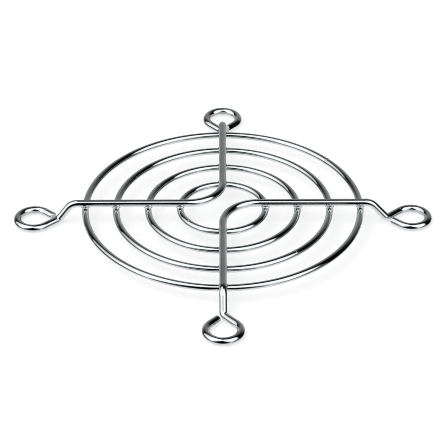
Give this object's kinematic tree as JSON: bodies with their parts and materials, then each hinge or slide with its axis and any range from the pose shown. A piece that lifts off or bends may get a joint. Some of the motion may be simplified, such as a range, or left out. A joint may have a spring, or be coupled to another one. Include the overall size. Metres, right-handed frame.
{
  "type": "wire fan guard",
  "caption": "Round wire finger guard for a small axial fan: concentric plated steel rings welded under bent spoke wires whose ends form open screw eyes.",
  "frame": {"origin": "centre of the four screw eyes, on the fan face that the eyes sit against", "axes": "+Z away from the fan, +X along the right arm, +Y along the back arm"},
  "size_m": [0.112, 0.112, 0.007],
  "materials": {
    "plated_wire": "bright nickel-chrome plate on drawn steel wire"
  },
  "bodies": {
    "root": {"ring_inner": "plated_wire", "ring_second": "plated_wire", "ring_third": "plated_wire", "ring_outer": "plated_wire", "spoke_wire_left_back": "plated_wire", "spoke_wire_right_front": "plated_wire"}
  },
  "joints": []
}
